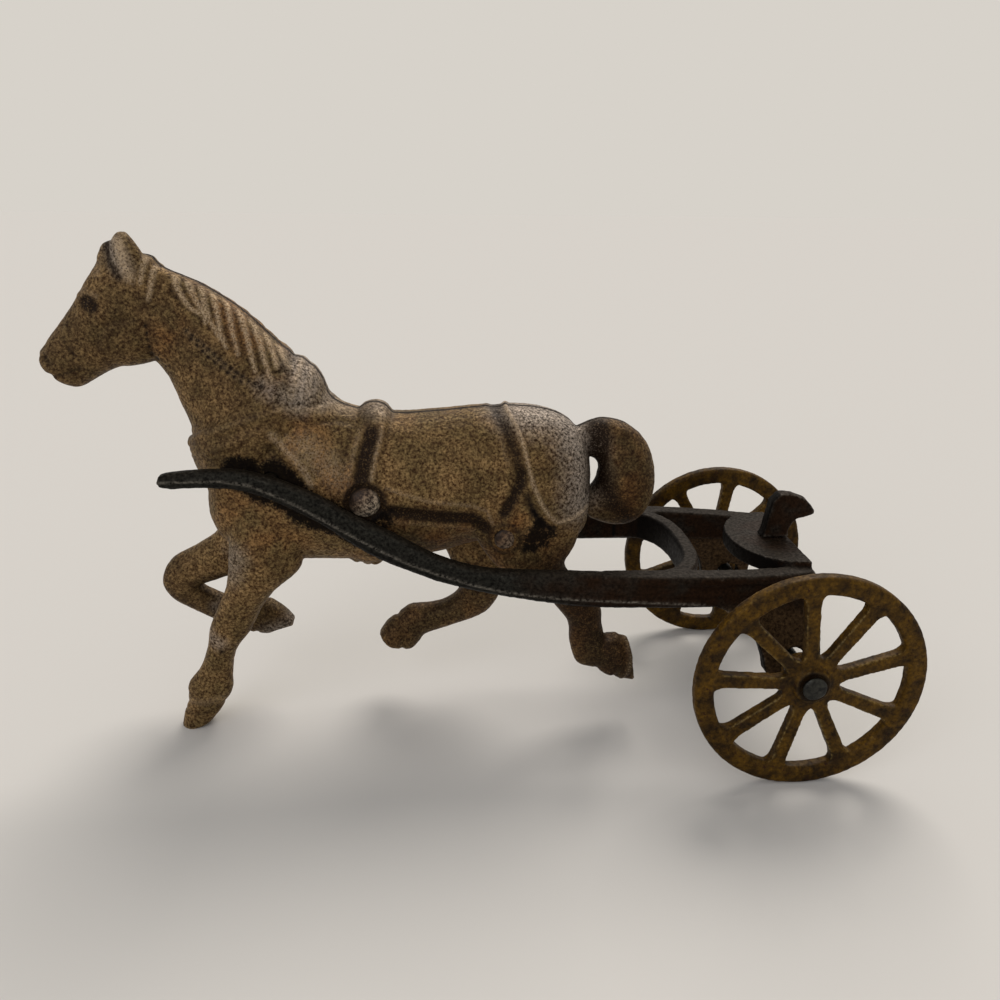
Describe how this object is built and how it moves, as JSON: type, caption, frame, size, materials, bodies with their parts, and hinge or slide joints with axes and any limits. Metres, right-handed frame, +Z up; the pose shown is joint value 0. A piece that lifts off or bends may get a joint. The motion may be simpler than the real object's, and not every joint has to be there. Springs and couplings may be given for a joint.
{
  "type": "toy horse cart",
  "caption": "Cast iron toy horse in two riveted halves, standing between the shafts of a two-wheeled cart frame with loose spoked wheels on a steel axle",
  "frame": {"origin": "on the ground, under the middle of the toy's box", "axes": "+X backwards from the horse's nose to the wheels, +Y to the horse's right, +Z up"},
  "size_m": [0.1847, 0.0748, 0.1128],
  "materials": {
    "horse_iron": "old gilt paint worn to brown iron, grainy casting surface",
    "rivet_iron": "peened over and rubbed, brown patina",
    "frame_iron": "black paint worn thin over rusted cast iron",
    "axle_steel": "darkened steel rod",
    "wheel_paint": "mustard paint with rust specks"
  },
  "bodies": {
    "toy": {"horse_left_half": "horse_iron", "horse_right_half": "horse_iron", "girth_rivet": "rivet_iron", "flank_rivet": "rivet_iron", "cart_frame": "frame_iron", "seat_post": "frame_iron"},
    "axle_rod": {"axle": "axle_steel"},
    "left_wheel": {"wheel_left": "wheel_paint"},
    "right_wheel": {"wheel_right": "wheel_paint"}
  },
  "joints": [
    {"name": "axle_turn", "type": "hinge", "parent": "toy", "child": "axle_rod", "pos_m": [0.0674, 0, 0.025], "axis": [0, 1, 0], "continuous": true},
    {"name": "left_wheel_turn", "type": "hinge", "parent": "axle_rod", "child": "left_wheel", "pos_m": [0.0674, -0.034, 0.025], "axis": [0, 1, 0], "continuous": true},
    {"name": "right_wheel_turn", "type": "hinge", "parent": "axle_rod", "child": "right_wheel", "pos_m": [0.0674, 0.034, 0.025], "axis": [0, 1, 0], "continuous": true}
  ]
}
